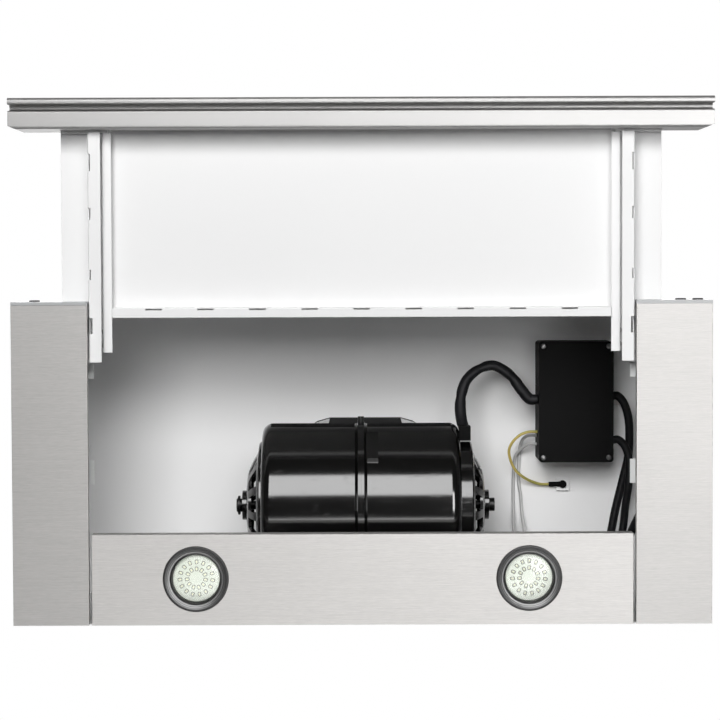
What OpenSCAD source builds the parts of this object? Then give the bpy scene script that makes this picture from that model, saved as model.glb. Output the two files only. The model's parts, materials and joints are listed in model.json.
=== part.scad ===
// Telescopic range hood with its visor drawn out and its grease filters taken out.
// Working axes: X to the right, Y towards the wall, Z up, with Y = 0 at the front of the body and
// Z = 0 at its underside. placed() then moves every piece, so that the part's origin is the centre of
// the duct outlet on the top face of the spigot's flange.

/* [Body] */
// Width of the lower body
body_w = 598; // [560:1:900]
// Depth of the body from front to wall
body_d = 277; // [270:1:330]
// Height of the side boxes
box_h = 52; // [48:1:80]
// Height from the underside to the top of the roof
total_h = 186; // [184:1:260]
// Width of a side box beside the tower
side_box_w = 35; // [24:1:36]
// Thickness of the painted sheet
sheet = 1; // [0.8:0.1:1.4]
// Thickness of the stainless sheet
steel = 1; // [0.8:0.1:1.4]
// Width of one side cover
cover_w = 65; // [62:1:70]
// Height of the folded inner lip of a side cover
cover_lip = 7; // [4:0.5:7]
// Thickness of the front caps of the side boxes
cap_t = 3; // [2:0.5:4]

/* [Cabinet screws] */
// Distance between the screw holes from front to wall
screw_pitch_y = 160; // [100:5:200]
// Distance between the screw holes in height
screw_pitch_z = 70; // [40:5:90]
// Diameter of a cabinet screw hole
screw_hole_d = 5; // [4:0.5:6]

/* [Lamp panel] */
// Depth of the lamp panel
panel_d = 78; // [72:1:80]
// Gap between the lamp panel and a side cover
panel_gap = 2.3; // [1:0.1:4]
// Height of the folded front lip of the lamp panel
panel_lip = 14; // [8:1:18]
// Distance of a lamp from the middle
lamp_x = 142.6; // [100:0.1:180]
// Distance of the lamps from the wall
lamp_back = 39.7; // [34:0.1:44]
// Outer diameter of a lamp bezel
bezel_d = 56.4; // [50:0.2:62]
// Diameter of the clear lens
lens_d = 41; // [36:0.5:44]
// Depth of the lamp cup above the panel
cup_h = 26; // [20:1:34]

/* [Visor] */
// Depth of the visor profile
visor_d = 26.3; // [24:0.1:34]
// Height of the front of the visor above the underside
visor_top = 50; // [40:1:51]
// How far the visor's flat band hangs below the underside
visor_drop = 6; // [2:0.5:10]
// Wall thickness of the visor profile
visor_wall = 1.2; // [1:0.1:1.5]
// Depth of the rounded nose
nose_d = 5.8; // [5:0.1:8]
// How far the nose hangs below the flat band
nose_drop = 2; // [0:0.5:3]
// Width of the finger groove
groove_w = 5.1; // [5:0.1:7]
// Depth of the finger groove above the flat band
groove_h = 12; // [8:0.5:16]
// How far the visor slides in
travel = 143; // [100:1:143]
// Gap that the closed visor leaves to the body
closed_gap = 3.5; // [2.5:0.5:6]

/* [Drawer] */
// How far a wing of the drawer reaches over its side cover
wing_reach = 24.4; // [20:0.1:24.6]
// Height of the pan above the underside
pan_z = 28; // [24:0.5:30]
// Gap between a side rail and a side cover
rail_gap = 0.6; // [0.4:0.1:3]
// Width of a side rail's bottom flange
rail_flange = 10.9; // [8:0.1:14]
// Height of a side rail's bottom flange above the underside
rail_z = 8; // [7.5:0.5:12]
// How far a side rail reaches into the body
rail_in = 52; // [30:1:52]
// Width of a filter bracket's flange
bracket_w = 8; // [5:0.5:10]
// Height of the filter brackets above the underside
bracket_z = 18; // [14:0.5:21]
// How far a filter bracket reaches into the body
bracket_in = 44; // [25:1:44]
// Place of the cross member behind the front of the body
cross_y = 5.4; // [2:0.1:20]
// Depth of the cross member's flange
cross_d = 8.6; // [6:0.1:14]
// Height of the cross member above the underside
cross_z = 14; // [11:0.5:18]
// Length of a fold slot in the cross member
fold_slot = 14; // [8:1:20]
// Distance between the fold slots of the cross member
fold_pitch = 44.6; // [40:0.2:46]
// Number of fold slots in the cross member
fold_count = 9; // [5:2:9]
// Width of a fold slot
fold_w = 2.2; // [1.5:0.1:3]

/* [Slide guides] */
// Running gap over and under the drawer's wings
slide_gap = 0.3; // [0.2:0.1:0.5]
// Thickness of the guide under a wing
guide_floor = 2.7; // [2:0.1:3.5]
// Thickness of the guide over a wing
guide_lid = 2.2; // [1.5:0.1:3]
// Inward reach of the two tabs on a guide
tab_reach = 6; // [3:0.5:8]

/* [Blower] */
// Place of the fan shaft behind the front of the body
fan_y = 185.2; // [182:0.2:200]
// Height of the fan shaft above the underside
fan_z = 106; // [104:0.5:110]
// Outer radius of the fan housing
drum_r = 73.5; // [68:0.5:74]
// Half the width of the fan housing
drum_half = 88; // [80:1:95]
// Wall thickness of the fan housing
drum_wall = 2; // [1.5:0.1:2.5]
// Rounding of the housing's edges
drum_round = 9; // [4:0.5:12]
// Radius of an air inlet
inlet_r = 48; // [42:1:50]
// Radius of a fan wheel
wheel_r = 58; // [54:0.5:62]
// Number of blades on a fan wheel
blade_count = 32; // [16:1:40]
// Diameter of the shaft
shaft_d = 8; // [6:0.5:10]
// Left end of the shaft, measured from the middle
shaft_left = 113; // [110:0.5:125]
// Right end of the shaft, measured from the middle
shaft_right = 119; // [115:0.5:130]
// Radius of a bearing hub
hub_r = 13.2; // [11:0.2:16]
// Number of arms of an inlet guard
arm_count = 12; // [8:1:14]

/* [Duct] */
// Outer diameter of the duct spigot
duct_d = 119.4; // [100:0.2:119.4]
// Wall thickness of the duct spigot
duct_wall = 2; // [1.5:0.1:3]
// Height of the spigot above its flange
duct_h = 32; // [28:1:60]
// Place of the duct's centre behind the front of the body
duct_y = 173; // [172:0.5:174]
// Thickness of a backdraught flap
flap_t = 1.2; // [0.8:0.1:2]

/* [Control box] */
// Width of the control box
ctrl_w = 68.2; // [60:0.1:70.2]
// Depth of the control box
ctrl_d = 110.4; // [90:0.1:111.2]
// Height of the control box
ctrl_h = 45; // [36:1:60]
// Height of its lid
lid_h = 12; // [8:0.5:16]
// Gap between the control box and the inner edge of a side cover, seen from below
ctrl_gap = 4; // [3:0.5:9]
// Front of the control box, behind the front of the body
ctrl_front = 40.2; // [30:0.2:45]

/* [Buttons] */
// Diameter of a push button
button_d = 9.4; // [6:0.2:9.6]
// Travel of a push button
button_travel = 2; // [1:0.1:2.5]
// Distance of the lamp button from the side of the body
button_side = 10; // [9:0.1:12]
// Distance between the two buttons
button_pitch = 14.6; // [13:0.1:17]
// Height of the buttons above the underside
button_z = 22; // [16:0.5:30]

/* [Hidden] */

$fn = 96;
eps = 0.01;
paint = [0.93, 0.94, 0.94];
stainless = [0.78, 0.77, 0.75];
black = [0.07, 0.07, 0.08];

body_half = body_w / 2;
tower_half = body_half - side_box_w;
cover_in = body_half - cover_w;
cover_out = body_half;
roof_under = total_h - sheet;
panel_y = body_d - panel_d;
panel_half = cover_in - panel_gap;
lamp_y = body_d - lamp_back;
screw_mid_y = body_d / 2;
screw_mid_z = (box_h + roof_under) / 2;
lens_r = lens_d / 2;
bezel_r = bezel_d / 2;
cup_r = lens_r + 4;
lens_z = 2;
lens_t = 1.5;
board_z = 6;
board_t = 1.6;
can_r = lens_r - 1.5;
bezel_drop = 1.6;
spoke_count = 15;
chip_rings = [8.5, 14.5];
chip = [2.8, 1.6, 0.8];
far = body_w; // longer than any cut needs

visor_rear = -travel - closed_gap;
visor_front = visor_rear - visor_d;
visor_half = body_half;
nose_r = 3;
fillet_r = 1.7;
groove_r = groove_w / 2;
groove_top = groove_h - visor_drop - groove_r;
plug_t = 4;
plug_fit = 0.15;
edge_r = 2.4;
top_r = 6;
lip_t = 2.3;
lip_w = 40;
lip_z = 16;
hook = [3, 1, 4];

pan_half = cover_in + wing_reach;
rail_x = cover_in - rail_gap;
lip_out = pan_half - 1.4;
lip_in = lip_out - lip_w;
wing_in = rail_in - 2;
drawer_front = visor_rear + lip_t;
rail_web = rail_x - sheet;
bracket_out = rail_x - rail_flange - 0.2;
bracket_inner = bracket_out - bracket_w;
cross_half = bracket_inner - 0.5;
rail_slots = [[-125.9, 14.5], [-80, 10.2], [-27.2, 8.6]];
latch_slot = [14, 13.6];
latch_slot_w = fold_w + 1.1;
wing_under = 3; // how far a filter bracket's flange reaches in past the pan's wing
bracket_screw_back = [18, 6];
bracket_screw_up = 5.5;
bracket_screw_r = 2.4;
bracket_screw_h = 1.7;

guide_wall = 2.6;
guide_floor_in = cover_in + 8;
guide_lid_in = cover_in + 4;
guide_in = pan_half + 0.4;
guide_out = guide_in + guide_wall;
guide_bottom = pan_z - slide_gap - guide_floor;
guide_top = pan_z + sheet + slide_gap;
guide_front = cap_t + 1;
guide_rear = body_d - sheet - 3;
guide_tabs = [[54, 13], [138, 21]];
buffer_places = [124.4, 173.7];
buffer = [3, 8];

fan_x = -1;
joint_rib = 2.8;
rib_h = 1.4;
joint_groove = [1.2, 2.6, 1.2]; // across the groove to its floor and to its far edge, and its depth
neck_x = 3;
neck_half = 62;
neck_front = fan_y - drum_r;
neck_rear = 2 * duct_y - neck_front;
neck_flat = 33;
neck_shoulder = [44.5, 3.2];
neck_corner = 16;
flange_h = 6.5;
neck_top = roof_under - flange_h;
guard_r = inlet_r + 9;
guard_t = 2;
guard_wall = 3;
guard_edge = 1.2;
cage_r = guard_r - 7;
cage_h = 12;
// Shares of the cage's radius and of its height along its section
cage_shape = [[1, 0], [0.9, 0.24], [0.81, 0.46], [0.64, 0.78], [0.56, 0.88]];
cage_last = len(cage_shape) - 1;
// Rows of openings in a guard's cage, each from an inner to an outer radius
cage_rows = [[hub_r + 4, hub_r + 15], [hub_r + 19.5, cage_r - 3]];
hub_left = -shaft_left + 5.4;
hub_right = shaft_right - 5.4;
hub_t = 4.5;
bush_r = 7;
arm_w = 7;
run_gap = 0.05;
shaft_r = shaft_d / 2;
wheel_in = 22;
wheel_out = drum_half - drum_wall - 4;
wheel_bore = 46;
rotor_r = 24;
stator_in = rotor_r + 0.5;
stator_r = 42;
stator_half = 16;
winding_out = 3;
stator_arm = [5, 3];
knob_r = 6;
knob_disc_r = 8.5;

duct_r = duct_d / 2;
duct_bore = duct_r - duct_wall;
spigot_flange_r = duct_r + 7;
spigot_flange_t = 2.5;
pin_r = 1.5;
pin_z = total_h + 8;
knuckle_r = 3;
knuckle_pitch = 20;
flap_edge = 1.5;

ctrl_right = cover_in - ctrl_gap;
ctrl_left = ctrl_right - ctrl_w;
lid_z = roof_under - ctrl_h;
split_z = lid_z + lid_h;
ctrl_wall = 2;
ctrl_round = 3;
post_r = 3.5;
post_in = 4.2;
lid_screw_r = 1.4;
lid_head_r = 2.6;
lid_head_h = 1.6;
pcb_t = 1.6;
pcb_z = split_z + 14;
// Parts under the circuit board: two distances from the box's corner, then width, depth and height
board_parts = [[14, 20, 28, 24, 16], [14, 60, 20, 14, 12], [46, 22, 12, 16, 10], [46, 44, 12, 16, 10],
               [46, 66, 12, 16, 10]];

button_lamp_x = body_half - button_side;
button_fan_x = button_lamp_x - button_pitch;
button_r = button_d / 2;
button_out = 1.2;
button_end = cap_t + 4.3;
collar_r = button_r + 1;
collar_y = cap_t + 0.3;
collar_t = 1;
bore_fit = 0.05;
switch_in = button_fan_x - 9;
switch_out = body_half - steel - 1.5;
switch_half = 9;
switch_rear = cap_t + 18;
stop_x = 17.6 - body_half;

can_stub = 6;
can_top = cup_h + can_stub;
block_y = 1.9 - drum_r;
block_z = -16;
block_size = [10, 13, 20];
tab_z = roof_under - 3;
tab_x = ctrl_left + 25.2;
tab_y = 174.5;
tab_half = 6;
tab_screw_r = 3.6;
sleeve_r = 2.2;
sleeve_l = 8;
sleeve_x = tab_x - tab_half + 1 - sleeve_l;
sleeve_z = tab_z - 1.2;
gland_x = tower_half - 48;
gland_y = body_d - 21;
gland_r = 9;
gland_neck = 5.8;
gland_in = 13;
gland_out = 10;
notch_y = 45;
notch_l = 20.5;
notch_h = 12;
latch_tilt = 40;
latch_gap = 1.8;
latch_w = 10.5;
latch_out = 2.4;
latch_in = 4;
latch_low = 17;
latch_high = 16;
corner_x = 6;
corner_y = 2.5;

// Routes of the fixed wiring, chosen by hand along what holds each lead
harness_r = 5.2;
harness_route = [
  [ctrl_left, 93, 150], [154, 93, 150], [146, 84, 148], [136, 71, 146], [121, 62, 143], [107, 65, 140],
  [96, 74, 137], [91, 86, 134], [89.5, 98, 131], [90, 108, 127], [91.5, 115.5, 121.5], [92.5, 119.2, 115],
  [92.5, 119.2, 110]
];
earth_r = 1.3;
earth_route = [
  [ctrl_left, 124, 160], [154, 124, 160], [146, 127, 161], [139, 134, 163], [136, 142, 166], [138, 152, 169],
  [143, 161, 172], [151, 168, 175], [160, 172.5, 179], [sleeve_x - 7, tab_y, sleeve_z],
  [sleeve_x, tab_y, sleeve_z]
];
lamp_lead_r = 1.5;
lamp_lead_right = [
  [ctrl_left, 128, 170], [154.5, 128, 170], [149.5, 132, 175], [147, 140, 180], [146.5, 150, 183],
  [146, 170, 183.3],
  [148, 186, 183.3], [149, 200, 182], [150, 214, 170], [149, 224, 140], [147, 230, 95], [143.5, 236, 55],
  [lamp_x, lamp_y, 40], [lamp_x, lamp_y, can_top]
];
lamp_lead_left = [
  [ctrl_left, 136, 170], [154.5, 136, 170], [148, 141, 175], [143.5, 147, 180], [142, 154, 183],
  [141, 172, 183.3],
  [141, 196, 182], [140, 214, 165], [137, 228, 120], [130, 240, 60], [110, 250, 20], [80, 258, 8],
  [20, 262, 6], [-60, 262, 6], [-94, 260, 9], [-108, 257, 20], [-118, 252, 36], [-130, 245, 46],
  [-139, 239.5, 46],
  [-lamp_x, lamp_y, 40], [-lamp_x, lamp_y, can_top]
];
supply_r = 3.8;
supply_lead = [
  [ctrl_right, 91, 162], [236, 91, 162], [242, 98, 162], [246, 111, 162], [247, 128, 162], [246, 146, 161],
  [241, 166, 158], [236, 184, 154], [232, 199, 150], [229, 213, 147], [225.5, 229, 145], [221.5, 245, 148],
  [217.5, 254, 156], [gland_x, gland_y, 164], [gland_x, gland_y, roof_under - gland_in]
];
switch_lead_r = 3.6;
switch_lead = [
  [ctrl_right, 131, 151], [236, 131, 151], [242, 138, 150], [245, 150, 147], [244, 170, 141],
  [240, 188, 131], [237, 204, 120], [234.5, 218, 115], [232.5, 230, 105], [232, 235, 95], [232.5, 230, 85],
  [235, 218, 77.5], [239, 205, 73], [245, 190, 68], [250.5, 172, 59], [254, 150, 49], [254, 130, 42],
  [254, 105, 38], [254, 72, 37], [257, 56, 37], [263, 50, 35], [270, 44, 31], [274, 36, 26], [275, 28, 24],
  [275, switch_rear, 24]
];

// Shared shapes

module placed() {
  translate([0, -duct_y, -total_h - spigot_flange_t]) children();
}

module box(low, high) {
  translate(low) cube(high - low);
}

// A box given for the right side, mirrored to the left side when side is -1
module side_box(side, low, high) {
  if (side > 0) box(low, high);
  else mirror([1, 0, 0]) box(low, high);
}

// A cylinder along X from x0 to x1
module bar_x(x0, x1, r) {
  translate([x0, 0, 0]) rotate([0, 90, 0]) cylinder(r = r, h = x1 - x0);
}

module tube_x(x0, x1, r, bore) {
  difference() {
    bar_x(x0, x1, r);
    bar_x(x0 - 1, x1 + 1, bore);
  }
}

// A cylinder along Y from y0 to y1
module bar_y(y0, y1, r) {
  translate([0, y1, 0]) rotate([90, 0, 0]) cylinder(r = r, h = y1 - y0);
}

module round_plate(w, d, h, r) {
  union() {
    translate([r, 0, 0]) cube([w - 2 * r, d, h]);
    translate([0, r, 0]) cube([w, d - 2 * r, h]);
    for (x = [r, w - r], y = [r, d - r]) translate([x, y, 0]) cylinder(r = r, h = h, $fn = 32);
  }
}

// Points of an arc, by its centre, radius and two angles
function arc(cx, cy, r, a0, a1, n) =
  [for (i = [0 : n]) [cx + r * cos(a0 + (a1 - a0) * i / n), cy + r * sin(a0 + (a1 - a0) * i / n)]];

function unit(v) = v / norm(v);

// Direction of a route at its point i
function heading(p, i) = unit(p[min(i + 1, len(p) - 1)] - p[max(i - 1, 0)]);

// A cord swept along its own points; the end rings are square to the first and last stretch
module cord(p, r, sides, ref) {
  n = len(p);
  rings = [for (i = [0 : n - 1])
    let (t = heading(p, i), u = unit(cross(t, ref)), v = cross(t, u))
    for (k = [0 : sides - 1]) p[i] + r * (cos(360 * k / sides) * u + sin(360 * k / sides) * v)];
  walls = [for (i = [0 : n - 2], k = [0 : sides - 1], half = [0, 1])
    let (a = i * sides + k, b = i * sides + (k + 1) % sides)
      half == 0 ? [a, b, b + sides] : [a, b + sides, a + sides]];
  first = [for (k = [sides - 1 : -1 : 0]) k];
  last = [for (k = [0 : sides - 1]) (n - 1) * sides + k];
  polyhedron(points = rings, faces = concat([first, last], walls), convexity = 6);
}

// Tower and side boxes

module roof_panel() placed() color(paint) difference() {
  box([-tower_half, 0, roof_under], [tower_half, body_d, total_h]);
  translate([0, duct_y, roof_under - 1]) cylinder(r = duct_bore, h = sheet + 2);
  translate([gland_x, gland_y, roof_under - 1]) cylinder(r = gland_neck + 0.1, h = sheet + 2);
}

module side_wall(side) placed() color(paint) difference() {
  union() {
    side_box(side, [tower_half - sheet, 0, box_h], [tower_half, body_d, roof_under]);
    side_box(side, [tower_half - sheet, cap_t, box_h - sheet], [tower_half, body_d, box_h + eps]);
  }
  for (y = [-0.5, 0.5], z = [-0.5, 0.5])
    translate([side * tower_half, screw_mid_y + y * screw_pitch_y, screw_mid_z + z * screw_pitch_z])
      bar_x(-2 * sheet, 2 * sheet, screw_hole_d / 2);
}

module front_wall() placed() color(paint)
  box([-tower_half + sheet, 0, box_h], [tower_half - sheet, sheet, roof_under]);

module rear_wall() placed() color(paint)
  box([-tower_half + sheet, body_d - sheet, steel], [tower_half - sheet, body_d, roof_under]);

module side_box_frame(side) placed() color(paint) {
  side_box(side, [tower_half, cap_t, box_h - sheet], [cover_out - steel, body_d, box_h]);
  side_box(side, [tower_half, body_d - sheet, steel],
    [cover_out - steel, body_d, box_h - sheet + eps]);
}

module side_cover(side) placed() color(stainless) union() {
  side_box(side, [cover_in, cap_t, 0], [cover_out, body_d, steel]);
  side_box(side, [cover_out - steel, cap_t, 0], [cover_out, body_d, box_h]);
  side_box(side, [cover_in, cap_t, 0], [cover_in + steel, body_d - sheet, cover_lip - 0.5]);
}

// A cap has a slot for the drawer's wing, and the right one has two button holes
module front_cap(side) placed() color([0.72, 0.74, 0.76]) difference() {
  side_box(side, [cover_in, 0, 0], [cover_out, cap_t, box_h]);
  side_box(side, [cover_in - 1, -1, pan_z - 2 * slide_gap],
    [pan_half + 0.5, cap_t + 1, pan_z + sheet + 2 * slide_gap]);
  if (side > 0)
    for (x = [button_fan_x, button_lamp_x])
      translate([x, 0, button_z]) bar_y(-1, cap_t + 1, button_r + bore_fit);
}

module rubber_stop() placed() color(black)
  translate([stop_x, 0, button_z]) bar_y(-button_out, 0, button_r);

// A C-shaped plastic guide that holds a wing of the drawer
module slide_guide(side) placed() color([0.9, 0.91, 0.9]) union() {
  side_box(side, [guide_floor_in, guide_front, guide_bottom],
    [guide_out, guide_rear, guide_bottom + guide_floor]);
  difference() {
    side_box(side, [guide_in, guide_front, guide_bottom], [guide_out, guide_rear, box_h - sheet]);
    if (side > 0)
      box([guide_in - 1, notch_y, guide_top + guide_lid],
        [guide_out + 1, notch_y + notch_l, guide_top + guide_lid + notch_h]);
  }
  side_box(side, [guide_lid_in, guide_front, guide_top], [guide_out, guide_rear, guide_top + guide_lid]);
  for (t = guide_tabs)
    side_box(side, [guide_lid_in - tab_reach, t[0], guide_top],
      [guide_lid_in + 1, t[0] + t[1], guide_top + guide_lid]);
  if (side < 0)
    for (y = buffer_places)
      side_box(side, [guide_lid_in - buffer[0], y, guide_top],
        [guide_lid_in + 1, y + buffer[1], guide_top + guide_lid]);
}

// Lamp panel and lamps

module lamp_panel() placed() color(stainless) difference() {
  union() {
    box([-panel_half, panel_y, 0], [panel_half, body_d, steel]);
    box([-panel_half, panel_y, 0], [panel_half, panel_y + steel, panel_lip]);
    box([-panel_half, body_d - sheet - steel, 0], [panel_half, body_d - sheet, panel_lip - 2]);
    for (side = [-1, 1])
      side_box(side, [panel_half - steel, panel_y, 0], [panel_half, body_d - sheet, panel_lip - 4]);
  }
  for (x = [-lamp_x, lamp_x])
    translate([x, lamp_y, -1]) cylinder(r = cup_r + 0.3, h = steel + 2);
}

module at_lamp(side) placed() translate([side * lamp_x, lamp_y, 0]) children();

// Bezel: a sloped ring under the panel and a cup that reaches up behind it
module lamp_bezel(side) at_lamp(side) color([0.62, 0.63, 0.64]) rotate_extrude() polygon([
  [lens_r + 0.8, -bezel_drop], [bezel_r - 1.2, -bezel_drop], [bezel_r, 1 - bezel_drop], [bezel_r, 0],
  [cup_r, 0], [cup_r, cup_h], [cup_r - 1.5, cup_h], [cup_r - 1.5, lens_z + lens_t + 1.5],
  [lens_r + 0.2, lens_z + lens_t + 1],
  [lens_r + 0.2, lens_z + lens_t], [lens_r + 0.2, lens_z], [lens_r - 1, lens_z - 0.2], [lens_r - 0.6, -0.6]
]);

module lamp_lens(side) at_lamp(side) color([0.85, 0.92, 0.88, 0.5])
  translate([0, 0, lens_z]) cylinder(r = lens_r, h = lens_t);

// LED boards with two chips on each of their spokes
module led_boards() color([0.9, 0.92, 0.86]) for (side = [-1, 1]) at_lamp(side) union() {
  translate([0, 0, board_z]) cylinder(r = lens_r - 0.4, h = board_t);
  for (k = [0 : spoke_count - 1], r = chip_rings)
    rotate([0, 0, 360 / spoke_count * k]) translate([r - chip[0] / 2, -chip[1] / 2, board_z - chip[2]])
      cube(chip + [0, 0, eps]);
}

// Heat sinks that carry the boards and close the bezels' cups
module lamp_cans() color([0.8, 0.81, 0.82]) for (side = [-1, 1]) at_lamp(side) union() {
  translate([0, 0, board_z + board_t]) cylinder(r = can_r, h = cup_h - board_z - board_t);
  translate([0, 0, cup_h]) cylinder(r = cup_r, h = 2);
  translate([0, 0, cup_h]) cylinder(r = 8, h = can_stub);
}

// Visor and drawer

// Cross-section of the visor, front at 0, drawn in by the inset t
function visor_section(t) = concat(
  arc(top_r, visor_top - top_r, top_r - t, 90, 180, 10),
  arc(nose_r, nose_r - visor_drop - nose_drop, nose_r - t, 180, 270, 8),
  arc(nose_d - fillet_r, fillet_r - visor_drop - nose_drop, fillet_r - t, 270, 360, 5),
  arc(nose_d + groove_r, groove_top, groove_r + t, 180, 0, 12),
  arc(nose_d + groove_w + fillet_r, fillet_r - visor_drop, fillet_r - t, 180, 270, 5),
  arc(visor_d - edge_r, edge_r - visor_drop, edge_r - t, 270, 360, 6),
  [[visor_d - t, visor_top - t]]
);

// Extrudes a section in Y and Z along X between two places
module along_x(x0, x1) {
  translate([x0, 0, 0]) rotate([90, 0, 90]) linear_extrude(height = x1 - x0) children();
}

// The two rear corners of the visor are cut off at a slant
module visor_corners() {
  for (side = [0, 1]) mirror([side, 0, 0])
    translate([0, visor_rear, -visor_drop - 10]) linear_extrude(height = visor_top + visor_drop + 20)
      polygon([[visor_half - corner_x, 0], [visor_half, -corner_y], [visor_half + 1, -corner_y],
               [visor_half + 1, 1], [visor_half - corner_x, 1]]);
}

module visor_profile() placed() color(stainless) difference() {
  translate([0, visor_front, 0]) difference() {
    along_x(-visor_half, visor_half) polygon(visor_section(0));
    along_x(-visor_half - 1, visor_half + 1) polygon(visor_section(visor_wall));
  }
  visor_corners();
}

// Plastic plugs that close the two ends of the profile
module visor_plugs() placed() color([0.3, 0.3, 0.32]) difference() {
  for (x = [-visor_half + 0.4, visor_half - 0.4 - plug_t])
    translate([0, visor_front, 0]) along_x(x, x + plug_t) polygon(visor_section(visor_wall + plug_fit));
  visor_corners();
}

module drawer_pan() placed() color(paint) union() {
  box([-pan_half, visor_rear, pan_z], [pan_half, cross_y + sheet, pan_z + sheet]);
  for (side = [-1, 1]) {
    side_box(side, [bracket_inner + wing_under, 0, pan_z], [pan_half, bracket_in, pan_z + sheet]);
    side_box(side, [rail_web, 0, pan_z], [pan_half, wing_in, pan_z + sheet]);
  }
}

// A rail has an upright web under the pan and a flange that points inwards, slotted along the fold
module drawer_rail(side) placed() color(paint) difference() {
  union() {
    side_box(side, [rail_web, drawer_front, rail_z], [rail_x, rail_in, pan_z]);
    side_box(side, [rail_x - rail_flange, drawer_front, rail_z], [rail_x, rail_in, rail_z + sheet]);
  }
  for (s = rail_slots)
    side_box(side, [rail_x - fold_w, s[0], rail_z - 1], [rail_x + 1, s[0] + s[1], rail_z + sheet + 0.8]);
  side_box(side, [rail_x - latch_slot_w, latch_slot[0], rail_z - 1],
    [rail_x + 1, latch_slot[0] + latch_slot[1], rail_z + sheet + 4]);
}

module filter_bracket(side) placed() color(paint) union() {
  side_box(side, [bracket_out - sheet, drawer_front, bracket_z], [bracket_out, bracket_in, pan_z]);
  side_box(side, [bracket_inner, drawer_front, bracket_z], [bracket_out, bracket_in, bracket_z + sheet]);
}

module cross_member() placed() color(paint) difference() {
  union() {
    box([-cross_half, cross_y, cross_z], [cross_half, cross_y + sheet, pan_z]);
    box([-cross_half, cross_y, cross_z], [cross_half, cross_y + cross_d, cross_z + sheet]);
  }
  for (k = [0 : fold_count - 1])
    translate([(k - (fold_count - 1) / 2) * fold_pitch - fold_slot / 2, cross_y - 1, cross_z - 1])
      cube([fold_slot, fold_w + 1, sheet + 1.8]);
}

// Angle lips that fix the pan to the back of the visor, each with a hooked inner end
module visor_lips() placed() color(paint) {
  for (side = [-1, 1]) {
    side_box(side, [lip_in, visor_rear, lip_z], [lip_out, visor_rear + lip_t, pan_z]);
    side_box(side, [lip_in - hook[0], visor_rear, lip_z],
      [lip_in + eps, visor_rear + hook[1], lip_z + hook[2]]);
  }
}

module bracket_screws() placed() color([0.6, 0.6, 0.6]) {
  for (side = [-1, 1], back = bracket_screw_back)
    translate([side * bracket_out, bracket_in - back, bracket_z + bracket_screw_up]) rotate([0, side * 90, 0])
      cylinder(r = bracket_screw_r, h = bracket_screw_h, $fn = 32);
}

// Blower

module at_fan() placed() translate([fan_x, fan_y, fan_z]) children();

// Outline of the outlet neck, with a flat front and sloping shoulders, drawn in by the inset t
function neck_outline(t) = [
  [-neck_flat, neck_front + t], [neck_flat, neck_front + t],
  [neck_shoulder[0], neck_front + neck_shoulder[1] + t], [neck_half - t, neck_front + neck_corner],
  [neck_half - t, neck_rear - neck_corner], [neck_shoulder[0], neck_rear - neck_shoulder[1] - t],
  [-neck_shoulder[0], neck_rear - neck_shoulder[1] - t], [t - neck_half, neck_rear - neck_corner],
  [t - neck_half, neck_front + neck_corner], [-neck_shoulder[0], neck_front + neck_shoulder[1] + t]
];

// One half of the drum: a shell with half the joint's rib and a groove beside it, a rounded outer edge and
// an open inlet
module half_drum(side) {
  rotate([0, side * 90, 0]) rotate_extrude() polygon(concat(
    [[drum_r + rib_h, 0], [drum_r + rib_h, joint_rib],
     [drum_r - joint_groove[2], joint_rib + joint_groove[0]], [drum_r, joint_rib + joint_groove[1]]],
    arc(drum_r - drum_round, drum_half - drum_round, drum_round, 0, 90, 10),
    [[inlet_r, drum_half], [inlet_r, drum_half - drum_wall]],
    arc(drum_r - drum_round, drum_half - drum_round, drum_round - drum_wall, 90, 0, 8),
    [[drum_r - drum_wall, 0]]
  ));
}

module housing_half(side) {
  difference() {
    union() {
      difference() {
        at_fan() half_drum(side);
        placed() translate([neck_x, 0, fan_z]) linear_extrude(height = neck_top - fan_z)
          polygon(neck_outline(drum_wall));
        at_fan() box([-far, -far, neck_top - fan_z], [far, far, far]);
      }
      difference() {
        placed() translate([neck_x, 0, fan_z]) linear_extrude(height = neck_top - fan_z)
          polygon(neck_outline(0.3));
        placed() translate([neck_x, 0, fan_z - 1]) linear_extrude(height = neck_top - fan_z + 2)
          polygon(neck_outline(drum_wall));
        at_fan() bar_x(-drum_half + drum_wall, drum_half - drum_wall, drum_r - drum_wall);
        at_fan() box([-side * far - far, -far, -far], [far - side * far, far, far]);
      }
      placed() translate([fan_x, 0, 0]) side_box(side, [0, neck_front - rib_h, fan_z],
        [joint_rib, neck_front + drum_wall, neck_top]);
    }
  }
}

module fan_housing_left() color(black) housing_half(-1);

module fan_housing_right() color(black) union() {
  housing_half(1);
  at_fan() latch();
}

// Snap latch over the joint rib, on the front of the housing
module latch() {
  difference() {
    rotate([latch_tilt, 0, 0]) box([joint_rib + latch_gap, -drum_r - latch_out, -latch_low],
      [joint_rib + latch_gap + latch_w, -drum_r + latch_in, latch_high]);
    bar_x(0, 2 * latch_w + joint_rib, drum_r - drum_wall + 0.2);
  }
}

module outlet_flange() placed() color(black) difference() {
  translate([neck_x, 0, neck_top]) linear_extrude(height = flange_h) polygon(neck_outline(0));
  translate([0, duct_y, neck_top - 1])
    cylinder(r = min(duct_bore, neck_half - neck_x - 1.5), h = flange_h + 2);
}

// Point k of the section of a guard's cage that rises from base to top, drawn in by the thickness t
function cage_point(k, base, top, t) =
  [cage_r * cage_shape[k][0] - t / 2, base + (top - base) * cage_shape[k][1] - t];

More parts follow.
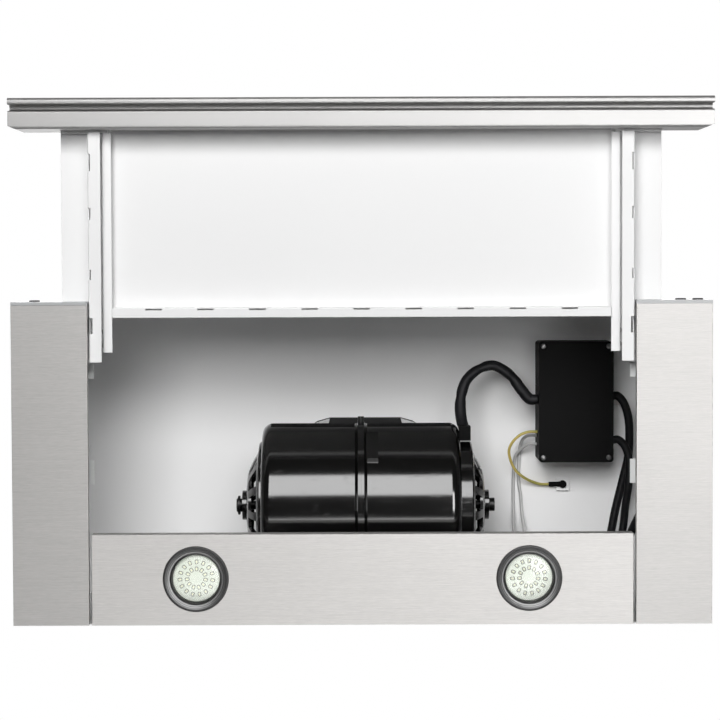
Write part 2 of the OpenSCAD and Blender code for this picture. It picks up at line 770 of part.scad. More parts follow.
// Inlet guard: a collar on the housing's end, a domed cage of arms and a hub that holds the shaft bush
module inlet_guard(side) at_fan() color(black) {
  reach = (side > 0 ? hub_right : -hub_left) - side * fan_x;
  top = reach - hub_t + 1;
  base = max(drum_half + guard_t + 0.5, top - cage_h);
  mirror([side > 0 ? 0 : 1, 0, 0]) difference() {
    union() {
      rotate([0, 90, 0]) rotate_extrude() polygon([
        [inlet_r, drum_half], [guard_r, drum_half], [guard_r, base - guard_edge], [guard_r - guard_edge, base],
        [guard_r - guard_wall, base], [guard_r - guard_wall, drum_half + guard_t],
        [inlet_r, drum_half + guard_t]]);
      rotate([0, 90, 0]) rotate_extrude() polygon(concat(
        [[guard_r - guard_t, base]], [for (k = [0 : cage_last]) cage_point(k, base, top, 0)],
        [[hub_r - 1, top], [hub_r - 1, top - guard_t]],
        [for (k = [cage_last : -1 : 0]) cage_point(k, base, top, guard_t)],
        [[guard_r - guard_t, base - guard_t]]));
      bar_x(reach - hub_t, reach, hub_r);
    }
    difference() {
      for (row = cage_rows) tube_x(drum_half + guard_t + 0.1, reach + 1, row[1], row[0]);
      for (k = [0 : arm_count - 1])
        rotate([(k + 0.25) * 360 / arm_count, 0, 0])
          box([drum_half, -arm_w / 2, 0], [reach + 2, arm_w / 2, far]);
    }
    bar_x(reach - hub_t - 1, reach + 1, bush_r + 0.1);
  }
}

module shaft_bushes() placed() color([0.72, 0.58, 0.32]) translate([0, fan_y, fan_z]) {
  tube_x(hub_left, hub_left + hub_t, bush_r, shaft_r + run_gap);
  tube_x(hub_right - hub_t, hub_right, bush_r, shaft_r + run_gap);
}

// Shaft with a capped knob and a disc at each end
module fan_shaft() placed() color([0.2, 0.2, 0.21]) translate([0, fan_y, fan_z]) union() {
  bar_x(-shaft_left + 1, shaft_right - 1, shaft_r);
  bar_x(-shaft_left, hub_left - 0.6, knob_r);
  bar_x(-shaft_left + 1.2, -shaft_left + 3.4, knob_disc_r);
  bar_x(hub_right + 0.6, shaft_right, knob_r);
}

module fan_wheel(side) at_fan() color([0.16, 0.16, 0.17]) mirror([side > 0 ? 0 : 1, 0, 0]) union() {
  tube_x(wheel_in, wheel_in + 2, wheel_r, shaft_r + 0.02);
  tube_x(wheel_in, wheel_in + 14, 10, shaft_r + 0.02);
  tube_x(wheel_out - 3, wheel_out, wheel_r, wheel_bore);
  for (k = [0 : blade_count - 1])
    rotate([k * 360 / blade_count, 0, 0]) translate([wheel_in + 1, wheel_bore + 0.6, 0]) rotate([30, 0, 0])
      cube([wheel_out - wheel_in - 2, wheel_r - wheel_bore - 2.4, 1.2]);
}

module motor_rotor() at_fan() color([0.5, 0.5, 0.52])
  tube_x(-stator_half, stator_half, rotor_r, shaft_r + 0.02);

// Stator ring with its windings and the four arms that hold it in the housing's joint
module motor_stator() at_fan() color([0.4, 0.41, 0.43]) union() {
  tube_x(-stator_half, stator_half, stator_r, stator_in);
  tube_x(-stator_half - winding_out, stator_half + winding_out, stator_r - 4, stator_in + 4);
  for (a = [45 : 90 : 315])
    rotate([a, 0, 0]) box([-stator_arm[0], -stator_arm[1], stator_r - 1],
      [stator_arm[0], stator_arm[1], drum_r - drum_wall - 0.2]);
}

// Block on the right end of the housing, where the motor leads come in
module terminal_block() at_fan() color(black)
  translate([drum_half, block_y, block_z]) cube(block_size);

// Duct outlet and backdraught flaps

module duct_spigot() placed() color([0.12, 0.12, 0.13]) translate([0, duct_y, total_h]) difference() {
  union() {
    cylinder(r = spigot_flange_r, h = spigot_flange_t);
    cylinder(r = duct_r, h = spigot_flange_t + duct_h);
  }
  translate([0, 0, -1]) cylinder(r = duct_bore, h = spigot_flange_t + duct_h + 2);
  translate([0, 0, pin_z - total_h]) bar_x(-duct_r - 1, duct_r + 1, pin_r + run_gap);
}

module flap_pin() placed() color([0.7, 0.7, 0.7])
  translate([0, duct_y, pin_z]) bar_x(-duct_r + 0.2, duct_r - 0.2, pin_r);

// A half-round flap whose knuckles share the pin with those of the other flap
module flap(side) placed() color([0.8, 0.81, 0.82]) translate([0, duct_y, pin_z]) difference() {
  union() {
    intersection() {
      translate([0, 0, -flap_t / 2]) cylinder(r = duct_bore - flap_edge, h = flap_t);
      if (side > 0) box([-duct_r, knuckle_r + 0.5, -5], [duct_r, duct_r, 5]);
      else box([-duct_r, -duct_r, -5], [duct_r, -knuckle_r - 0.5, 5]);
    }
    for (k = side > 0 ? [0, 2] : [1, 3])
      translate([(k - 2) * knuckle_pitch, 0, 0]) {
        bar_x(0.3, knuckle_pitch - 0.3, knuckle_r);
        box([0.3, side > 0 ? 0 : -knuckle_r - 1, -flap_t / 2],
          [knuckle_pitch - 0.3, side > 0 ? knuckle_r + 1 : 0, flap_t / 2]);
      }
  }
  bar_x(-duct_r, duct_r, pin_r + run_gap);
}

// Control box

module at_ctrl() placed() translate([ctrl_left, ctrl_front, 0]) children();

module ctrl_corners() {
  for (x = [post_in, ctrl_w - post_in], y = [post_in, ctrl_d - post_in]) translate([x, y, 0]) children();
}

module control_box_base() at_ctrl() color(black) difference() {
  union() {
    difference() {
      translate([0, 0, split_z]) round_plate(ctrl_w, ctrl_d, roof_under - split_z, ctrl_round);
      translate([ctrl_wall, ctrl_wall, split_z - 1])
        cube([ctrl_w - 2 * ctrl_wall, ctrl_d - 2 * ctrl_wall, roof_under - split_z - ctrl_wall + 1]);
    }
    ctrl_corners() translate([0, 0, split_z]) cylinder(r = post_r, h = roof_under - split_z - 1, $fn = 32);
  }
  ctrl_corners() translate([0, 0, split_z - 1]) cylinder(r = lid_screw_r + 0.05, h = 13, $fn = 32);
}

module control_box_lid() at_ctrl() color(black) difference() {
  translate([0, 0, lid_z]) round_plate(ctrl_w, ctrl_d, lid_h, ctrl_round);
  difference() {
    translate([ctrl_wall, ctrl_wall, lid_z + ctrl_wall])
      cube([ctrl_w - 2 * ctrl_wall, ctrl_d - 2 * ctrl_wall, lid_h]);
    ctrl_corners() translate([0, 0, lid_z]) cylinder(r = post_r, h = lid_h + 1, $fn = 32);
  }
  ctrl_corners() {
    translate([0, 0, lid_z - 1]) cylinder(r = lid_screw_r + 0.05, h = lid_h + 2, $fn = 32);
    translate([0, 0, lid_z - 1]) cylinder(r = lid_head_r + 0.2, h = 1 + lid_head_h, $fn = 32);
  }
}

module lid_screws() at_ctrl() color([0.25, 0.25, 0.26]) ctrl_corners() union() {
  translate([0, 0, lid_z]) cylinder(r = lid_head_r, h = lid_head_h, $fn = 32);
  translate([0, 0, lid_z + lid_head_h - eps]) cylinder(r = lid_screw_r, h = lid_h + 8, $fn = 32);
}

// Circuit board on its ledge, with a transformer, a relay and three terminals
module circuit_board() at_ctrl() color([0.16, 0.4, 0.24]) union() {
  translate([ctrl_wall, post_in + post_r + 1, pcb_z])
    cube([ctrl_w - 2 * ctrl_wall, ctrl_d - 2 * post_in - 2 * post_r - 2, pcb_t]);
  for (b = board_parts) translate([b[0], b[1], pcb_z - b[4]]) cube([b[2], b[3], b[4] + eps]);
}

// Buttons

module switch_block() placed() color([0.15, 0.15, 0.16]) difference() {
  box([switch_in, cap_t, button_z - switch_half], [switch_out, switch_rear, button_z + switch_half]);
  for (x = [button_fan_x, button_lamp_x])
    translate([x, 0, button_z]) bar_y(cap_t - 1, button_end + button_travel + 0.7, collar_r + 0.2);
}

module push_button(x) placed() color(black) translate([x, 0, button_z]) union() {
  bar_y(-button_out, button_end, button_r);
  bar_y(collar_y, collar_y + collar_t, collar_r);
}

// Wiring

module motor_harness() placed() color(black) cord(harness_route, harness_r, 12, [0.2, 0.1, 1]);

module earth_wire() placed() color([0.85, 0.72, 0.1]) cord(earth_route, earth_r, 8, [0, 0, 1]);

module lamp_leads() placed() color([0.85, 0.85, 0.85]) {
  cord(lamp_lead_right, lamp_lead_r, 8, [1, 0.1, 0.05]);
  cord(lamp_lead_left, lamp_lead_r, 8, [0.9, 0.5, 0.1]);
}

module supply_leads() placed() color([0.1, 0.1, 0.1]) {
  cord(supply_lead, supply_r, 8, [1, 0.2, 0.1]);
  cord(switch_lead, switch_lead_r, 8, [1, 0.1, 0.4]);
}

// Insulated terminal and its tab, screwed to the underside of the roof
module earth_terminal() placed() color([0.6, 0.6, 0.6]) union() {
  translate([sleeve_x, tab_y, sleeve_z]) rotate([0, 90, 0])
    cylinder(r = sleeve_r, h = sleeve_l, $fn = 32);
  box([tab_x - tab_half, tab_y - tab_half, tab_z - 0.5], [tab_x + tab_half, tab_y + tab_half, tab_z + 0.5]);
  translate([tab_x, tab_y, tab_z - 2.5]) cylinder(r = tab_screw_r, h = 2.4, $fn = 32);
  translate([tab_x, tab_y, tab_z]) cylinder(r = 2, h = roof_under - tab_z, $fn = 32);
}

// Gland in the roof where the mains lead leaves the hood
module cable_gland() placed() color(black) translate([gland_x, gland_y, 0]) difference() {
  union() {
    translate([0, 0, roof_under - gland_in]) cylinder(r = gland_r, h = gland_in);
    translate([0, 0, roof_under]) cylinder(r = gland_neck, h = sheet + gland_out);
    translate([0, 0, total_h]) cylinder(r = gland_r, h = gland_out - 4);
  }
  translate([0, 0, total_h]) cylinder(r = supply_r, h = gland_out + 1);
}

roof_panel();
side_wall(-1);  // side_wall_left
side_wall(1);  // side_wall_right
front_wall();
rear_wall();
side_box_frame(-1);  // side_box_left
side_box_frame(1);  // side_box_right
side_cover(-1);  // side_cover_left
side_cover(1);  // side_cover_right
front_cap(-1);  // front_cap_left
front_cap(1);  // front_cap_right
rubber_stop();
slide_guide(-1);  // slide_guide_left
slide_guide(1);  // slide_guide_right
lamp_panel();
lamp_bezel(-1);  // lamp_bezel_left
lamp_bezel(1);  // lamp_bezel_right
lamp_lens(-1);  // lamp_lens_left
lamp_lens(1);  // lamp_lens_right
led_boards();
lamp_cans();
visor_profile();
visor_plugs();
drawer_pan();
drawer_rail(-1);  // drawer_rail_left
drawer_rail(1);  // drawer_rail_right
filter_bracket(-1);  // filter_bracket_left
filter_bracket(1);  // filter_bracket_right
cross_member();
visor_lips();
bracket_screws();
fan_housing_left();
fan_housing_right();
outlet_flange();
inlet_guard(-1);  // inlet_guard_left
inlet_guard(1);  // inlet_guard_right
shaft_bushes();
fan_shaft();
fan_wheel(-1);  // fan_wheel_left
fan_wheel(1);  // fan_wheel_right
motor_rotor();
motor_stator();
terminal_block();
duct_spigot();
flap_pin();
flap(-1);  // flap_front
flap(1);  // flap_rear
control_box_base();
control_box_lid();
lid_screws();
circuit_board();
switch_block();
push_button(button_fan_x);  // button_fan
push_button(button_lamp_x);  // button_lamp
motor_harness();
earth_wire();
lamp_leads();
supply_leads();
earth_terminal();
cable_gland();
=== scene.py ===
import json
import math

import bmesh
import bpy
from mathutils import Matrix, Vector, noise

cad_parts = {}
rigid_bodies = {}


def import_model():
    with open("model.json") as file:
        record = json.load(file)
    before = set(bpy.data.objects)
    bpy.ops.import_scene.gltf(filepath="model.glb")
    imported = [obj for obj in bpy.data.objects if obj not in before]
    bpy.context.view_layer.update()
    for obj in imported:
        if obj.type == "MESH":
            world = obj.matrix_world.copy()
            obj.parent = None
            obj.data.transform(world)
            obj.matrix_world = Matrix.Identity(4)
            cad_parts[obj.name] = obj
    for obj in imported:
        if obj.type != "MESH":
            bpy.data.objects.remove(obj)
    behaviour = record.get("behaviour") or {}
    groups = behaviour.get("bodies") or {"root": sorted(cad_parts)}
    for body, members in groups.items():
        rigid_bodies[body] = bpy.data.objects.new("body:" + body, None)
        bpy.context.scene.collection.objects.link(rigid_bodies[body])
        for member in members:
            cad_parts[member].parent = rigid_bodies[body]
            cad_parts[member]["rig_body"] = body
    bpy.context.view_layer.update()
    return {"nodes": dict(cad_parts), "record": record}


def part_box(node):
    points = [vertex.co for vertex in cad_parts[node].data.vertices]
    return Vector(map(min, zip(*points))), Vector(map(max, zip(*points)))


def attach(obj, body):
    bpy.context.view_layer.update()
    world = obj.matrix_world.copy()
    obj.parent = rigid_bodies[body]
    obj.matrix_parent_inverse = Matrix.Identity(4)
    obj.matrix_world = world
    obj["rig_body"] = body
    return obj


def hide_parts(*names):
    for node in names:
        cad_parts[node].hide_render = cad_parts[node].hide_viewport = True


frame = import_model()
nodes = frame["nodes"]
slotOf = {part["node"]: part["material_slot"] for part in frame["record"]["subparts"]}
bodyOf = {name: node["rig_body"] for name, node in nodes.items()}
print("frame loaded with", len(nodes), "nodes")

mm = 0.001
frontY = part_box("front_wall")[0].y  # front of the hood's body
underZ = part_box("side_cover_left")[0].z  # underside of the hood's body


def at(x, y, z):  # millimetres from the middle, the front and the underside of the body
    return Vector((x * mm, frontY + y * mm, underZ + z * mm))


# Shader helpers


class Signal:  # what a socket gives; sums and products of signals add Math nodes
    def __init__(self, finish, socket):
        self.finish = finish
        self.socket = socket

    def __add__(self, other):
        return self.finish.maths("ADD", self, other)

    def __radd__(self, other):
        return self.finish.maths("ADD", other, self)

    def __sub__(self, other):
        return self.finish.maths("SUBTRACT", self, other)

    def __rsub__(self, other):
        return self.finish.maths("SUBTRACT", other, self)

    def __mul__(self, other):
        return self.finish.maths("MULTIPLY", self, other)

    def __rmul__(self, other):
        return self.finish.maths("MULTIPLY", other, self)


class Finish:
    def __init__(self, name, fixed=None, tree=None):
        if tree is None:
            self.material = bpy.data.materials.new(name)
            self.material.use_nodes = True
            tree = self.material.node_tree
            self.shader = tree.nodes["Principled BSDF"]
        self.tree = tree
        self.spot = None
        for socket, value in (fixed or {}).items():
            self.feed(socket, value)

    def add(self, kind, settings=None, sockets=None, out=0):
        made = self.tree.nodes.new(kind)
        for key, value in (settings or {}).items():
            setattr(made, key, value)
        for key, value in (sockets or {}).items():
            self.join(made.inputs[key], value)
        return Signal(self, made.outputs[out])

    def join(self, socket, value):
        if isinstance(value, Signal):
            self.tree.links.new(value.socket, socket)
        else:
            socket.default_value = value

    def feed(self, name, value):
        self.join(self.shader.inputs[name], value)

    def maths(self, operation, first, second=0.0):
        return self.add("ShaderNodeMath", {"operation": operation}, {0: first, 1: second})

    def where(self):
        if self.spot is None:
            self.spot = self.add("ShaderNodeTexCoord", out="Object")
        return self.spot

    def grain(self, scale, stretch=(1, 1, 1), detail=2.0, rough=0.5):
        spot = self.add("ShaderNodeMapping", {}, {"Vector": self.where(), "Scale": stretch})
        return self.add("ShaderNodeTexNoise", {}, {"Vector": spot, "Scale": scale, "Detail": detail,
                                                   "Roughness": rough})

    def window(self, value, low, high, start=0.0, end=1.0):
        return self.add("ShaderNodeMapRange", {"clamp": True}, {0: value, 1: low, 2: high, 3: start, 4: end})

    def mark(self, name):  # a number that the mesh carries
        return self.add("ShaderNodeAttribute", {"attribute_name": name}, out="Fac")

    def colours(self, factor, first, second):
        return self.add("ShaderNodeMix", {"data_type": "RGBA"}, {0: factor, 6: first, 7: second}, out=2)

    def relief(self, height, depth, strength=1.0):
        bump = self.add("ShaderNodeBump", {}, {"Strength": strength, "Distance": depth, "Height": height})
        self.feed("Normal", bump)


def tone(level, warm=0.0):  # a near grey, slightly warm above zero and slightly cool below
    return (level * (1 + warm), level, level * (1 - warm), 1)


def powderCoat(name, look):
    coat = Finish(name, {"IOR": 1.5, "Coat Roughness": 0.2})
    cloud = coat.grain(7, detail=3)
    peel = coat.grain(look["peel"], detail=2)
    edge = coat.mark("edge")
    # edges lighten in noisy patches: partly wear, partly a painted edge highlight
    chips = edge * coat.window(coat.grain(160, detail=3), 0.45, 0.7)
    low, high = look["level"] * 0.985, look["level"] * 1.01
    base = coat.colours(cloud, tone(low, look["warm"]), tone(high, look["warm"]))
    coat.feed("Base Color", coat.colours(chips * look["wearAndHighlightAmount"], base, tone(look["wearAndEdgeHighlight"], look["warm"])))
    coat.feed("Roughness", look["rough"] + cloud * 0.06 + peel * 0.05)
    coat.relief(peel, look["depth"])
    return coat


def brushedSteel(name, look):
    steel = Finish(name, {"Metallic": 1.0})
    normal = steel.add("ShaderNodeSeparateXYZ", {}, {0: steel.add("ShaderNodeTexCoord", out="Normal")})
    sideways = steel.window(steel.maths("ABSOLUTE", normal), 0.6, 0.8)
    fine, wide = look["grain"]

    def streaks(scale, stretch, detail):
        across = steel.grain(scale, (1, stretch, stretch), detail)
        along = steel.grain(scale, (stretch, 1, stretch), detail)
        return across * (1 - sideways) + along * sideways

    hair = streaks(fine, look["stretch"], 2)
    band = streaks(wide, look["stretch"] * 1.6, 3)
    cloud = steel.grain(9, detail=3)
    edge = steel.mark("edge")
    shade = steel.window(hair * 0.65 + band * 0.35, 0.3, 0.7)
    dark = look["level"] * (1 - look["streak"])
    base = steel.colours(shade, tone(dark, look["warm"]), tone(look["level"], look["warm"]))
    # cut edges brighten and smooth in noisy patches: partly rubbed wear, partly a painted edge highlight
    rubbedAndLitEdge = edge * steel.window(steel.grain(220, detail=2), 0.35, 0.65)
    bright = tone(min(1, look["level"] * 1.15), look["warm"])
    steel.feed("Base Color", steel.colours(rubbedAndLitEdge * 0.5, base, bright))
    steel.feed("Roughness", look["rough"] + shade * 0.07 + cloud * 0.06 - rubbedAndLitEdge * 0.08)
    steel.relief(hair, look["depth"])
    return steel


def mouldedPlastic(name, look):
    plastic = Finish(name, {"IOR": look.get("ior", 1.5), "Specular IOR Level": look.get("sheen", 0.5),
                            "Coat Roughness": look.get("coatRough", 0.15)})
    cloud = plastic.grain(14, detail=3)
    pores = plastic.grain(look["pores"], detail=2)
    edge = plastic.mark("edge")
    scuff = plastic.window(plastic.grain(90, (1, 3, 1), detail=4), 0.58, 0.75)
    base = plastic.colours(cloud, look["colour"], [c * 1.12 for c in look["colour"][:3]] + [1])
    # edges and scuffs turn towards a lighter colour: the scuffs are wear, the edges partly wear and partly a painted
    # edge highlight
    wearAndEdgeHighlight = edge * 0.7 + scuff * look["scuff"]
    plastic.feed("Base Color", plastic.colours(wearAndEdgeHighlight * look["wearAndHighlightAmount"], base, look["wearAndEdgeHighlight"]))
    plastic.feed("Roughness", look["rough"] + cloud * 0.08 + pores * 0.06 + scuff * 0.1)
    plastic.feed("Coat Weight", look.get("coat", 0.0))
    plastic.relief(pores, look["depth"])
    return plastic


def platedMetal(name, look):
    metal = Finish(name, {"Metallic": 1.0})
    cloud = metal.grain(look["cloud"], detail=4)
    fine = metal.grain(look["fine"], detail=2)
    edge = metal.mark("edge")
    base = metal.colours(cloud, look["dark"], look["bright"])
    # edges turn towards the bright colour: partly wear, partly a painted edge highlight
    metal.feed("Base Color", metal.colours(edge * 0.4, base, look["bright"]))
    metal.feed("Roughness", look["rough"] + cloud * 0.14)
    metal.relief(fine, look["depth"])
    return metal


def spunChrome(name, look):  # turned marks run round each lamp's own axis
    chrome = Finish(name, {"Metallic": 1.0})
    middle = at(look["x"], look["y"], 0)
    parts = chrome.add("ShaderNodeSeparateXYZ", {}, {0: chrome.where()})
    across = chrome.maths("ABSOLUTE", parts) - middle.x
    back = Signal(chrome, parts.socket.node.outputs[1]) - middle.y
    reach = chrome.maths("SQRT", across * across + back * back)
    rings = chrome.add("ShaderNodeTexNoise", {"noise_dimensions": "1D"},
                       {"W": reach, "Scale": look["rings"], "Detail": 3.0})
    cloud = chrome.grain(60, detail=3)
    ringed = chrome.colours(chrome.window(rings, 0.35, 0.65), look["dark"], look["bright"])
    # outside the rim radius and inside the wall radius the ring takes the dark edge colour: painted shade on its outer
    # slope and inner wall
    rim = chrome.window(reach, look["rim"][0], look["rim"][1])
    wall = chrome.window(reach, look["wall"][1], look["wall"][0])
    chrome.feed("Base Color", chrome.colours(chrome.maths("MAXIMUM", rim, wall), ringed, look["edge"]))
    chrome.feed("Roughness", look["rough"] + rings * 0.12 + cloud * 0.06)
    chrome.relief(rings, look["depth"])
    return chrome


def clearGlass(name, look):
    glass = Finish(name, {"Metallic": 1.0, "Base Color": look["tint"], "Roughness": look["rough"]})
    bent = glass.add("ShaderNodeFresnel", {}, {"IOR": look["ior"]})
    haze = glass.window(glass.grain(120, detail=3), 0.3, 0.8, 0.0, look["haze"])
    glass.feed("Alpha", glass.window(bent + haze + look["body"], 0, 1))
    return glass


def cordJacket(name, look):
    jacket = Finish(name, {"IOR": 1.48, "Specular IOR Level": look["sheen"]})
    cloud = jacket.grain(40, detail=3)
    fine = jacket.grain(look["fine"], detail=2)
    stripe = jacket.window(jacket.mark("stripe"), 0.25, 0.45)
    base = jacket.colours(cloud, look["dark"], look["light"])
    jacket.feed("Base Color", jacket.colours(stripe, base, look["stripe"]))
    jacket.feed("Roughness", look["rough"] + cloud * 0.15)
    jacket.relief(fine, look["depth"])
    return jacket


def ledMask(name, look):
    # the mask and phosphor glow faintly in their own colour though the lamps are off: painted glow
    mask = Finish(name, {"IOR": 1.5, "Emission Strength": look["glow"]})
    cloud = mask.grain(90, detail=3)
    base = mask.colours(cloud, look["dark"], look["light"])
    mask.feed("Base Color", base)
    mask.feed("Emission Color", base)
    mask.feed("Roughness", 0.35 + cloud * 0.2)
    mask.relief(mask.grain(1500), 0.00002)
    return mask


# the lighter edge colours in these looks are partly wear and partly painted edge highlight
paintLook = {"level": 0.89, "warm": 0.0, "wearAndEdgeHighlight": 0.93, "wearAndHighlightAmount": 0.5, "rough": 0.34, "peel": 700, "depth": 0.000008}
capLook = {"level": 0.46, "warm": -0.02, "wearAndEdgeHighlight": 0.6, "wearAndHighlightAmount": 0.5, "rough": 0.3, "peel": 900, "depth": 0.000008}
coverLook = {"level": 0.525, "warm": 0.02, "streak": 0.26, "rough": 0.5, "grain": (150, 30), "stretch": 34,
             "depth": 0.000005}
visorLook = {"level": 0.4, "warm": 0.01, "streak": 0.08, "rough": 0.42, "grain": (170, 30), "stretch": 34,
             "depth": 0.000003}
housingLook = {"colour": (0.003, 0.0029, 0.0028, 1), "rough": 0.06, "pores": 1600, "depth": 0.000002, "scuff": 0.2,
               "wearAndHighlightAmount": 0.08, "wearAndEdgeHighlight": (0.03, 0.03, 0.03, 1), "ior": 1.7, "sheen": 0.66}
boxLook = {"colour": (0.0045, 0.0045, 0.0046, 1), "rough": 0.48, "pores": 1900, "depth": 0.00003, "scuff": 0.3,
           "wearAndHighlightAmount": 0.2, "wearAndEdgeHighlight": (0.03, 0.03, 0.03, 1), "sheen": 0.05}
blackLook = {"colour": (0.006, 0.006, 0.0062, 1), "rough": 0.36, "pores": 1700, "depth": 0.00002, "scuff": 0.5,
             "wearAndHighlightAmount": 0.3, "wearAndEdgeHighlight": (0.05, 0.05, 0.05, 1), "sheen": 0.3}
guideLook = {"colour": (0.88, 0.89, 0.88, 1), "rough": 0.38, "pores": 1500, "depth": 0.00001, "scuff": 0.3,
             "wearAndHighlightAmount": 0.4, "wearAndEdgeHighlight": (0.9, 0.91, 0.9, 1)}
rubberLook = dict(blackLook, rough=0.62, depth=0.00004)
wheelLook = dict(blackLook, colour=(0.03, 0.03, 0.032, 1), rough=0.45)
boardLook = {"colour": (0.03, 0.16, 0.07, 1), "rough": 0.35, "pores": 1500, "depth": 0.00002, "scuff": 0.5,
             "wearAndHighlightAmount": 0.4, "wearAndEdgeHighlight": (0.15, 0.3, 0.16, 1)}
zincLook = {"dark": tone(0.42, 0.02), "bright": tone(0.7, 0.01), "cloud": 180, "fine": 1200, "rough": 0.24,
            "depth": 0.00001}
flapLook = dict(zincLook, dark=tone(0.5), bright=tone(0.66), cloud=40)
motorLook = dict(zincLook, dark=tone(0.2), bright=tone(0.38), cloud=120, rough=0.35)
shaftLook = dict(zincLook, dark=tone(0.02), bright=tone(0.06), cloud=150, rough=0.3)
bronzeLook = dict(zincLook, dark=(0.32, 0.2, 0.08, 1), bright=(0.55, 0.38, 0.17, 1), cloud=200, rough=0.35)
sinkLook = dict(zincLook, dark=tone(0.5), bright=tone(0.62), cloud=60)
screwLook = dict(zincLook, dark=tone(0.1), bright=tone(0.3), cloud=300, rough=0.26)
# x and y are the lamps' places; the rim and wall radii mark where the ring darkens outwards and inwards to the dark
# edge colour, a painted shade on its outer slope and inner wall
chromeLook = {"x": 142.6, "y": 237.3, "rings": 1400, "dark": tone(0.17), "bright": tone(0.36), "rough": 0.4,
              "depth": 0.00001, "edge": tone(0.06), "rim": (0.0258, 0.0264), "wall": (0.0222, 0.0228)}
glassLook = {"tint": (1, 1, 1, 1), "rough": 0.3, "ior": 1.49, "haze": 0.02, "body": 0.01}
# glow here is a painted glow; the lamps are off
maskLook = {"dark": (0.7, 0.76, 0.66, 1), "light": (0.84, 0.88, 0.79, 1), "glow": 0.12}
sleeveLook = {"dark": (0.003, 0.003, 0.0034, 1), "light": (0.006, 0.006, 0.0068, 1),
              "stripe": (0.009, 0.009, 0.0105, 1), "fine": 900, "rough": 0.4, "depth": 0.00006, "sheen": 0.22}
earthLook = {"dark": (0.5, 0.38, 0.1, 1), "light": (0.68, 0.54, 0.16, 1), "stripe": (0.36, 0.33, 0.08, 1),
             "fine": 900, "rough": 0.3, "depth": 0.00001, "sheen": 0.5}
leadLook = {"dark": (0.5, 0.5, 0.5, 1), "light": (0.62, 0.62, 0.62, 1), "stripe": (0.45, 0.45, 0.45, 1),
            "fine": 900, "rough": 0.34, "depth": 0.00001, "sheen": 0.5}

finishes = {
    "white_paint": powderCoat("whitePowderCoat", paintLook),
    "cap_grey": powderCoat("greyCapPaint", capLook),
    "cover_steel": brushedSteel("coverSteel", coverLook),
    "visor_steel": brushedSteel("visorSteel", visorLook),
    "black_rubber": mouldedPlastic("stopRubber", rubberLook),
    "guide_white": mouldedPlastic("guidePlastic", guideLook),
    "bezel_chrome": spunChrome("bezelChrome", chromeLook),
    "lens_clear": clearGlass("lensGlass", glassLook),
    "led_white": ledMask("ledSolderMask", maskLook),
    "heat_sink": platedMetal("heatSinkAluminium", sinkLook),
    "zinc_screw": platedMetal("zincPlate", zincLook),
    "housing_black": mouldedPlastic("blowerHousing", housingLook),
    "bush_bronze": platedMetal("bushBronze", bronzeLook),
    "shaft_dark": platedMetal("shaftSteel", shaftLook),
    "wheel_plastic": mouldedPlastic("wheelPlastic", wheelLook),
    "motor_steel": platedMetal("motorSteel", motorLook),
    "duct_black": mouldedPlastic("ductPlastic", blackLook),
    "flap_metal": platedMetal("flapMetal", flapLook),
    "box_black": mouldedPlastic("controlBoxPlastic", boxLook),
    "screw_dark": platedMetal("lidScrewSteel", screwLook),
    "board_green": mouldedPlastic("circuitBoardGreen", boardLook),
    "button_black": mouldedPlastic("buttonPlastic", dict(blackLook, rough=0.3)),
    "harness_black": cordJacket("harnessSleeve", sleeveLook),
    "wire_yellow": cordJacket("earthWireJacket", earthLook),
    "lead_grey": cordJacket("leadJacket", leadLook),
}
extraFinishes = {
    # the lamp panel gets a brighter copy of the cover steel: painted light, the same steel shown as if lit more
    "panel_steel": brushedSteel("panelSteelPaintedLight", dict(coverLook, level=0.66, rough=0.56)),
    "neck_black": mouldedPlastic("neckPlastic", dict(blackLook, rough=0.7, sheen=0.06)),
    # the phosphor's glow is a painted glow; the lamps are off
    "phosphor": ledMask("ledPhosphor", {"dark": (0.8, 0.78, 0.5, 1), "light": (0.88, 0.86, 0.6, 1), "glow": 0.2}),
    # a dark rim round each chip on the board: painted shade
    "gel": ledMask("ledChipPaintedShade", {"dark": (0.06, 0.06, 0.03, 1), "light": (0.16, 0.15, 0.08, 1), "glow": 0.0}),
}
print("finishes made:", len(finishes) + len(extraFinishes))


def coatOf(slot):
    return (finishes.get(slot) or extraFinishes[slot]).material


# Mesh helpers


def shadeByAngle(work, angle):
    for face in work.faces:
        face.smooth = True
    for edge in work.edges:
        edge.smooth = len(edge.link_faces) != 2 or edge.calc_face_angle(0) < math.radians(angle)


def piece(name, work, like, coats=None, stands=(), angle=35, even=True):
    shadeByAngle(work, angle)
    mesh = bpy.data.meshes.new(name)
    work.to_mesh(mesh)
    work.free()
    for slot in coats or [slotOf[like]]:
        mesh.materials.append(coatOf(slot))
    made = bpy.data.objects.new(name, mesh)
    bpy.context.scene.collection.objects.link(made)
    if even:
        made.modifiers.new("evenShading", "WEIGHTED_NORMAL").keep_sharp = True
    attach(made, bodyOf[like])
    if stands:
        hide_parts(*stands)
    return made


def sheetWidth(face):
    return 2 * face.calc_area() / max(face.calc_perimeter(), 1e-9)


def roundEdges(work, edges, width, segments, layer):
    made = bmesh.ops.bevel(work, geom=edges, offset=width, offset_type="OFFSET", segments=segments, profile=0.5,
                           affect="EDGES", clamp_overlap=True, material=-1)
    for face in made["faces"]:
        face[layer] = 1.0


